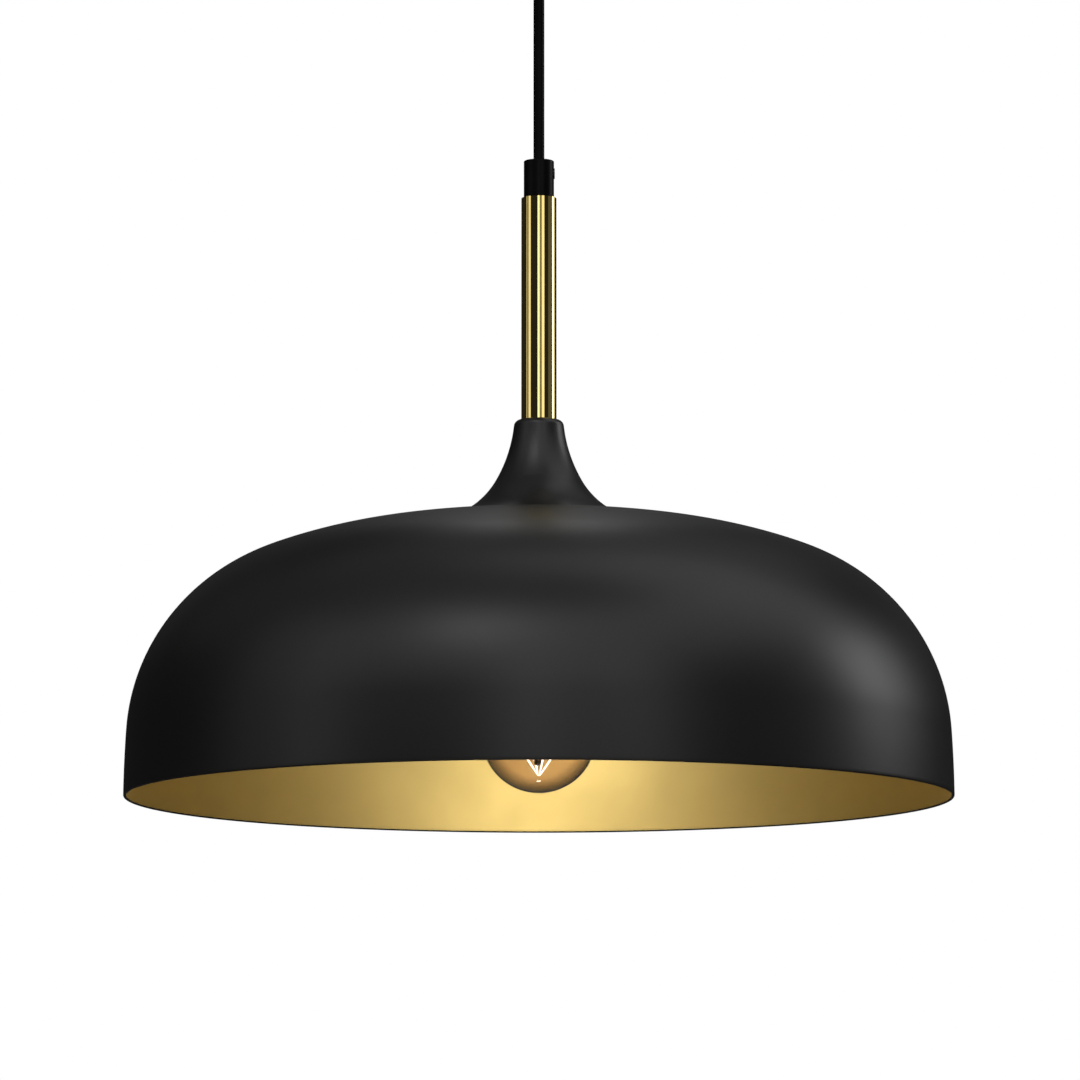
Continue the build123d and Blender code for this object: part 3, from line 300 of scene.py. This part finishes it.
def glow(name, strength):
    """Lit filament: a phosphor coat that glows, with fine beads along it."""
    material, tree, shader = surface(name, Emission_Strength=strength)
    beads = noise(tree, 1.1 * MILLIMETRE, detail=1)
    colour = ramp(tree, beads, (1.0, 0.92, 0.78, 1), (1.0, 0.97, 0.88, 1))
    finish(tree, shader, colour, spread(tree, beads, 0.4, 0.6))
    link(tree, colour, shader.inputs["Emission Color"])
    return material


finishes = {
    "black_coat": powder_coat(),
    "black_steel": powder_coat(),
    "polished_brass": polished_brass(),
    "brass_part": bare_metal("brass_bare", (0.62, 0.44, 0.17), (0.78, 0.58, 0.25), 0.28, 4 * MILLIMETRE),
    "black_plastic": moulded("plastic_black", (0.0010,) * 3, (0.0016,) * 3, 0.34, shine=0.06),
    "cord_sheath": sheath(),
    "zinc_steel": bare_metal("zinc_plate", (0.50, 0.51, 0.53), (0.66, 0.67, 0.68), 0.32, 3 * MILLIMETRE),
    "block_plastic": moulded("plastic_white", (0.74, 0.73, 0.69), (0.80, 0.79, 0.75), 0.38),
    "core_brown": moulded("core_brown", (0.10, 0.035, 0.012), (0.13, 0.048, 0.018), 0.40),
    "core_blue": moulded("core_blue", (0.012, 0.07, 0.30), (0.018, 0.095, 0.37), 0.40),
    "core_green": earth_insulation(),
    "steatite": moulded("steatite", (0.68, 0.65, 0.58), (0.76, 0.73, 0.66), 0.55),
    "amber_glass": glass("amber_glass", (0.787, 0.686, 0.659), (0.05, 0.05, 0.06), 0.30, 0.95, 1.05, 0.35),
    "stem_glass": glass("stem_glass", (0.08, 0.07, 0.06), (0.01, 0.01, 0.01), 0.1, 0.7, 1.45, 0.0),
    "nickel": bare_metal("nickel_plate", (0.60, 0.58, 0.54), (0.70, 0.68, 0.63), 0.22, 5 * MILLIMETRE),
    "vitrite": moulded("vitrite", (0.006,) * 3, (0.010,) * 3, 0.15, shine=0.5),
    "filament": glow("filament_glow", 2.0),
    "board": moulded("driver_board", (0.60, 0.58, 0.50), (0.70, 0.68, 0.60), 0.5),
}
gold = satin_gold()
grip_screw_plastic = moulded("plastic_screw", (0.004,) * 3, (0.006,) * 3, 0.30, shine=0.4)


def dress_nodes():
    """Give every CAD node its finish, smooth across soft edges. The grips' screws are a little shinier."""
    slots = {part["node"]: part["material_slot"] for part in frame["record"]["subparts"]}
    for name, node in frame["nodes"].items():
        node.data.materials.clear()
        node.data.materials.append(finishes[slots[name]])
        node.data.shade_smooth()
        node.data.set_sharp_from_angle(angle=NODE_SHARP_ANGLE)
    for name in ("canopy_grip_screw", "cord_grip_screw"):
        frame["nodes"][name].data.materials[0] = grip_screw_plastic


def unit(angle):
    """Point on the unit circle at an angle in degrees."""
    return Vector((cos(radians(angle)), sin(radians(angle))))


def arc(centre, radius, first, last, steps):
    """Points along an arc. Angles in degrees."""
    return [centre + radius * unit(first + (last - first) * step / steps) for step in range(steps + 1)]


def shade_outline():
    """Points up the shade's outside and up its inside, as radius and level, from the rim to the hole."""
    rim = Vector((shade_radius, rim_z + SHADE_WALL / 2))
    turns = [unit(angle) for angle in SHADE_TURNS]
    seat = Vector((neck_radius + SHADE_SEAT_MARGIN, seat_z))
    span = seat - rim - (turns[1] - turns[0]) * SHADE_WALL_ARC
    first, second = turns[2] - turns[1], turns[3] - turns[2]
    area = first.cross(second)
    radii = (SHADE_WALL_ARC, span.cross(second) / area, first.cross(span) / area)
    outside, inside = [], []
    centre = rim - turns[0] * radii[0]
    for index, (radius, steps) in enumerate(zip(radii, SHADE_ARC_STEPS)):
        if index:
            centre = centre + turns[index] * (radii[index - 1] - radius)
        begin, end = SHADE_TURNS[index], SHADE_TURNS[index + 1]
        first_new = 1 if index else 0
        outside += arc(centre, radius, begin, end, steps)[first_new:]
        inside += arc(centre, radius - SHADE_WALL, begin, end, steps)[first_new:]
    outside.append(Vector((SHADE_HOLE_RADIUS, outside[-1].y)))
    inside.append(Vector((SHADE_HOLE_RADIUS, inside[-1].y)))
    return outside, inside


def lathe(name, outline, sides):
    """Closed mesh turned about the axis from a closed outline of radius and level."""
    vertices, faces = [], []
    for point in outline:
        for side in range(sides):
            angle = 2 * pi * side / sides
            vertices.append((point.x * cos(angle), point.x * sin(angle), point.y))
    for row in range(len(outline)):
        here, there = row * sides, (row + 1) % len(outline) * sides
        for side in range(sides):
            after = (side + 1) % sides
            faces.append((here + side, here + after, there + after, there + side))
    mesh = bpy.data.meshes.new(name)
    mesh.from_pydata(vertices, [], faces)
    piece = bpy.data.objects.new(name, mesh)
    bpy.context.scene.collection.objects.link(piece)
    return piece


def spin_shade():
    """The spun shade: black outside and round its rolled rim, gold inside."""
    outside, inside = shade_outline()
    rim_middle = (outside[0] + inside[0]) / 2
    rim = arc(rim_middle, SHADE_WALL / 2, SHADE_TURNS[0] - 180, SHADE_TURNS[0], SHADE_RIM_STEPS)[1:-1]
    shade = lathe("shade_spun", rim + outside + inside[::-1], SHADE_SIDES)
    mesh = shade.data
    mesh.materials.append(finishes["black_coat"])
    mesh.materials.append(gold)
    first_gold = (len(rim) + len(outside)) * SHADE_SIDES
    last_gold = (len(rim) + len(outside) + len(inside) - 1) * SHADE_SIDES
    for face in mesh.polygons:
        face.material_index = int(first_gold <= face.index < last_gold)
    mesh.shade_smooth()
    mesh.set_sharp_from_angle(angle=PIECE_SHARP_ANGLE)
    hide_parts("shade")
    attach(shade, "pendant")


def light_filaments():
    """The lit rods: each has a tapered foot, a round phosphor body and a metal tab at its head."""
    sides, rings = FILAMENT_SIDES, FILAMENT_RINGS
    vertices, faces, tabs = [], [], []
    for index in range(FILAMENT_COUNT):
        bearing = radians(FILAMENT_TURN + 360 * index / FILAMENT_COUNT)
        outwards = Vector((cos(bearing), sin(bearing), 0))
        foot = outwards * FILAMENT_FOOT_SPREAD + Vector((0, 0, glass_low.z + FILAMENT_FOOT_CLEAR))
        head = foot + outwards * (FILAMENT_SPREAD - FILAMENT_FOOT_SPREAD) + Vector((0, 0, FILAMENT_HEIGHT))
        along = (head - foot).normalized()
        across = along.cross(outwards).normalized()
        upwards = across.cross(along)
        start = len(vertices)
        for share, size in rings:
            for side in range(sides):
                angle = 2 * pi * side / sides
                spoke = across * cos(angle) + upwards * sin(angle)
                vertices.append(foot.lerp(head, share) + spoke * size * FILAMENT_RADIUS)
        for row in range(len(rings) - 1):
            for side in range(sides):
                here = start + row * sides + side
                there = start + row * sides + (side + 1) % sides
                faces.append((here, there, there + sides, here + sides))
                tabs.append(row >= FILAMENT_FIRST_TAB_RING)
        last = start + (len(rings) - 1) * sides
        faces.append(tuple(reversed(range(start, start + sides))))
        faces.append(tuple(range(last, last + sides)))
        tabs += [False, True]
    mesh = bpy.data.meshes.new("bulb_filament_rods")
    mesh.from_pydata(vertices, [], faces)
    mesh.materials.append(finishes["filament"])
    mesh.materials.append(finishes["nickel"])
    for face, tab in zip(mesh.polygons, tabs):
        face.material_index = int(tab)
    mesh.shade_smooth()
    mesh.set_sharp_from_angle(angle=PIECE_SHARP_ANGLE)
    rods = bpy.data.objects.new("bulb_filament_rods", mesh)
    rods.visible_shadow = False
    rods.visible_glossy = False
    bpy.context.scene.collection.objects.link(rods)
    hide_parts("bulb_filaments")
    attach(rods, "bulb")


def hang_cord():
    """The cord between the two grips: a smooth tube on a taut line."""
    line = bpy.data.curves.new("cord_line", "CURVE")
    line.dimensions = "3D"
    line.resolution_u = 24
    spline = line.splines.new("NURBS")
    top, bottom = cord_high.z, cord_low.z
    route = [top, (2 * top + bottom) / 3, (top + 2 * bottom) / 3, bottom]
    spline.points.add(len(route) - 1)
    for point, z in zip(spline.points, route):
        point.co = (0, 0, z, 1)
    spline.order_u = 3
    spline.use_endpoint_u = True
    guide = bpy.data.objects.new("cord_line", line)
    path = [vertex.co.copy() for vertex in bpy.data.meshes.new_from_object(guide).vertices]
    bpy.data.objects.remove(guide)

    # The dome at the upper end turns freely under the fixed length.
    dome_z = top - CORD_END_GAP - cord_radius
    turns = [radians(angle) for angle in CORD_END_TURNS]
    rows = [(dome_z + cord_radius * sin(turn), cord_radius * cos(turn)) for turn in turns]
    rows += [(point.z, cord_radius) for point in path if point.z < dome_z]
    vertices, faces = [], []
    for z, radius in rows:
        for step in range(CORD_SIDES):
            angle = 2 * pi * step / CORD_SIDES
            vertices.append((radius * cos(angle), radius * sin(angle), z))
    for row in range(len(rows) - 1):
        for step in range(CORD_SIDES):
            here, there = row * CORD_SIDES + step, row * CORD_SIDES + (step + 1) % CORD_SIDES
            faces.append((here, here + CORD_SIDES, there + CORD_SIDES, there))
    last = (len(rows) - 1) * CORD_SIDES
    faces.append(tuple(range(CORD_SIDES)))
    faces.append(tuple(reversed(range(last, last + CORD_SIDES))))
    mesh = bpy.data.meshes.new("cord")
    mesh.from_pydata(vertices, [], faces)
    mesh.materials.append(finishes["cord_sheath"])
    mesh.shade_smooth()
    mesh.set_sharp_from_angle(angle=PIECE_SHARP_ANGLE)
    cord = bpy.data.objects.new("cord", mesh)
    bpy.context.scene.collection.objects.link(cord)

    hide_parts("hanging_cord")
    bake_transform(cord)


def set_camera():
    """The photograph's viewpoint."""
    data = bpy.data.cameras.new("camera")
    data.sensor_width = SENSOR_WIDTH
    data.lens = SENSOR_WIDTH * FOCAL_LENGTH / IMAGE_SIZE
    camera = bpy.data.objects.new("camera", data)
    camera.location = (CAMERA_SIDE, -CAMERA_DISTANCE, rim_z - CAMERA_BELOW_RIM)
    camera.rotation_euler = (pi / 2 + CAMERA_TILT, 0, 0)
    bpy.context.scene.collection.objects.link(camera)
    bpy.context.scene.camera = camera


def towards(azimuth, elevation):
    """Direction from the light. Azimuth 0 is towards the camera and 90 is +X, in degrees."""
    flat = cos(radians(elevation))
    return Vector((sin(radians(azimuth)) * flat, -cos(radians(azimuth)) * flat, sin(radians(elevation))))


def softbox(name, azimuths, elevations, radiance):
    """Rectangular lamp that fills a range of azimuths and elevations, in degrees, as seen from the light.

    Its power is pi times its radiance and its area.
    """
    azimuth, elevation = sum(azimuths) / 2, sum(elevations) / 2
    direction = towards(azimuth, elevation)
    data = bpy.data.lights.new(name, "AREA")
    data.shape = "RECTANGLE"
    data.size = 2 * LAMP_DISTANCE * cos(radians(elevation)) * tan(radians(azimuths[1] - azimuths[0]) / 2)
    data.size_y = 2 * LAMP_DISTANCE * tan(radians(elevations[1] - elevations[0]) / 2)
    data.energy = radiance * pi * data.size * data.size_y
    lamp = bpy.data.objects.new(name, data)
    lamp.location = STUDIO_AIM + direction * LAMP_DISTANCE
    lamp.rotation_euler = direction.to_track_quat("Z", "Y").to_euler()
    lamp.visible_camera = False
    bpy.context.scene.collection.objects.link(lamp)
    return lamp


def card(name, azimuths, elevations, level, distance=CARD_DISTANCE):
    """Curved card that only reflections see, at an even level. Its azimuths and elevations are in degrees."""
    columns = max(2, int((azimuths[1] - azimuths[0]) / CARD_FACE))
    rows = max(2, int((elevations[1] - elevations[0]) / CARD_FACE))
    vertices, faces = [], []
    for row in range(rows + 1):
        elevation = elevations[0] + (elevations[1] - elevations[0]) * row / rows
        for column in range(columns + 1):
            azimuth = azimuths[0] + (azimuths[1] - azimuths[0]) * column / columns
            vertices.append(STUDIO_AIM + towards(azimuth, elevation) * distance)
    for row in range(rows):
        for column in range(columns):
            corner = row * (columns + 1) + column
            faces.append((corner, corner + 1, corner + columns + 2, corner + columns + 1))
    mesh = bpy.data.meshes.new(name)
    mesh.from_pydata(vertices, [], faces)
    material, tree, shader = surface(name, Roughness=0.9, Specular_IOR_Level=0.0, Emission_Strength=level)
    weave = noise(tree, 20 * MILLIMETRE)
    link(tree, ramp(tree, weave, grey(0.0), grey(0.001)), shader.inputs["Base Color"])
    link(tree, ramp(tree, weave, grey(0.9), grey(1.0)), shader.inputs["Emission Color"])
    mesh.materials.append(material)
    panel = bpy.data.objects.new(name, mesh)
    panel.visible_camera = False
    panel.visible_diffuse = False
    panel.visible_transmission = False
    panel.visible_shadow = False
    bpy.context.scene.collection.objects.link(panel)


def background_rays(tree):
    """1 for the rays in which the background shows: the camera's, and those of metal and glass."""
    path = tree.nodes.new("ShaderNodeLightPath")
    seen = path.outputs["Is Camera Ray"]
    for ray in ("Is Glossy Ray", "Is Transmission Ray"):
        either = tree.nodes.new("ShaderNodeMath")
        either.operation = "MAXIMUM"
        link(tree, seen, either.inputs[0])
        link(tree, path.outputs[ray], either.inputs[1])
        seen = either.outputs["Value"]
    return seen


def white_world():
    """White for what the camera, metal and glass see, and a plain level of light for the rest."""
    world = bpy.data.worlds.new("studio")
    bpy.context.scene.world = world
    world.use_nodes = True
    tree = world.node_tree
    strength = new_node(tree, "MapRange", Value=background_rays(tree))
    strength.inputs["To Min"].default_value = AMBIENT
    strength.inputs["To Max"].default_value = 1.0
    background = tree.nodes["Background"]
    background.inputs["Color"].default_value = grey(1)
    link(tree, strength.outputs["Result"], background.inputs["Strength"])


def pale_floor():
    """Plain pale floor below the light, out of the photograph's view. Reflections don't show it."""
    turns = [2 * pi * side / FLOOR_SIDES for side in range(FLOOR_SIDES)]
    rim = [(FLOOR_RADIUS * cos(turn), FLOOR_RADIUS * sin(turn), FLOOR_Z) for turn in turns]
    mesh = bpy.data.meshes.new("floor")
    mesh.from_pydata(rim, [], [tuple(range(FLOOR_SIDES))])
    material, tree, shader = surface("floor_pale", Specular_IOR_Level=0.1)
    speckle = noise(tree, 0.4)
    finish(tree, shader, ramp(tree, speckle, grey(0.84), grey(0.85)), spread(tree, speckle, 0.75, 0.85))
    shader.inputs["Emission Color"].default_value = grey(FLOOR_LIFT)
    link(tree, background_rays(tree), shader.inputs["Emission Strength"])
    mesh.materials.append(material)
    floor = bpy.data.objects.new("floor", mesh)
    floor.visible_glossy = False
    bpy.context.scene.collection.objects.link(floor)


def light_bulb():
    """The lit bulb's own light, which the glass and the metal around it let through."""
    data = bpy.data.lights.new("bulb_light", "POINT")
    data.shadow_soft_size = BULB_LIGHT_RADIUS
    data.energy = BULB_LIGHT_POWER
    data.color = BULB_LIGHT_COLOUR
    lamp = bpy.data.objects.new("bulb_light", data)
    lamp.location = bulb_centre
    lamp.visible_camera = False
    lamp.visible_transmission = False
    bpy.context.scene.collection.objects.link(lamp)
    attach(lamp, "bulb")
    for name in ("bulb_glass", "bulb_stem", "bulb_wires"):
        frame["nodes"][name].visible_shadow = False
        frame["nodes"][name].visible_glossy = False


def studio():
    """Softboxes and cards, dark and bright, placed as the photograph's reflections show them.

    A wide softbox is a row of several side by side. Two of them don't light the stem tube, whose reflection
    would make a warm patch on the shade.
    """
    # Name, azimuths, elevations, radiance and number side by side
    boxes = (
        ("left_far", (-90, -81), (-4, 46), 0.55, 1),
        ("left_near", (-73, -55), (-4, 46), 0.95, 1),
        ("front_left", (-8, 4), (-4, 30), 1.7, 1),
        ("front_middle", (6, 18), (-4, 30), 0.22, 1),
        ("front_right", (19, 36), (-4, 30), 1.15, 1),
        ("key", (99, 113), (8, 30), 4.4, 1),
        ("key_side", (113, 126), (6, 30), 0.95, 1),
        ("front_spot", (-32, -6), (40, 50), 3.96, 1),
        ("front_top", (-50, 40), (30, 56), 1.16, 3),
        ("front_high", (-40, 40), (58, 82), 0.04, 2),
        ("front_fill", (-55, 30), (15, 28), 0.63, 3),
        ("right_top", (40, 120), (30, 60), 0.9, 3),
        ("right_high", (54, 130), (58, 80), 0.95, 2),
        ("left_top", (-85, -50), (30, 60), 0.09, 1),
        ("left_side", (-140, -85), (25, 60), 0.094, 2),
        ("left_high", (-150, -50), (55, 82), 0.2, 2),
        ("back_right", (125, 165), (40, 75), 0.2, 1),
        ("back_top", (172, 187), (41, 57), 1.45, 1),
        ("back_mid", (174, 187), (24, 42), 0.13, 1),
        ("back_high", (165, 220), (55, 82), 0.12, 1),
        ("back_low", (150, 210), (14, 40), 0.034, 2),
    )
    shielded = bpy.data.collections.new("shielded_from_front")
    shielded.objects.link(frame["nodes"]["stem_tube"])
    shielded.collection_objects[0].light_linking.link_state = "EXCLUDE"
    for name, azimuths, elevations, radiance, count in boxes:
        step = (azimuths[1] - azimuths[0]) / count
        for index in range(count):
            left = azimuths[0] + index * step
            lamp = softbox(f"{name}_{index}", (left, left + step), elevations, radiance)
            if name in SHIELDED_LAMPS:
                lamp.light_linking.receiver_collection = shielded
    card("dark_room", (-180, 180), (-10, 80), 0.02)
    card("low_room", (-180, 180), (-88, -10), 0.06)
    card("right_panel", (64, 92), (-10, 34), 0.11, distance=LAMP_DISTANCE)
    card("low_front", (-45, 45), (-50, -11), 0.45, distance=LAMP_DISTANCE)
    card("low_glint", (172, 188), (-75.5, -72), 25, distance=GLINT_DISTANCE)


hang_cord()
set_camera()
dress_nodes()
spin_shade()
light_filaments()
light_bulb()
studio()
white_world()
pale_floor()

bpy.context.scene.view_settings.view_transform = "Standard"
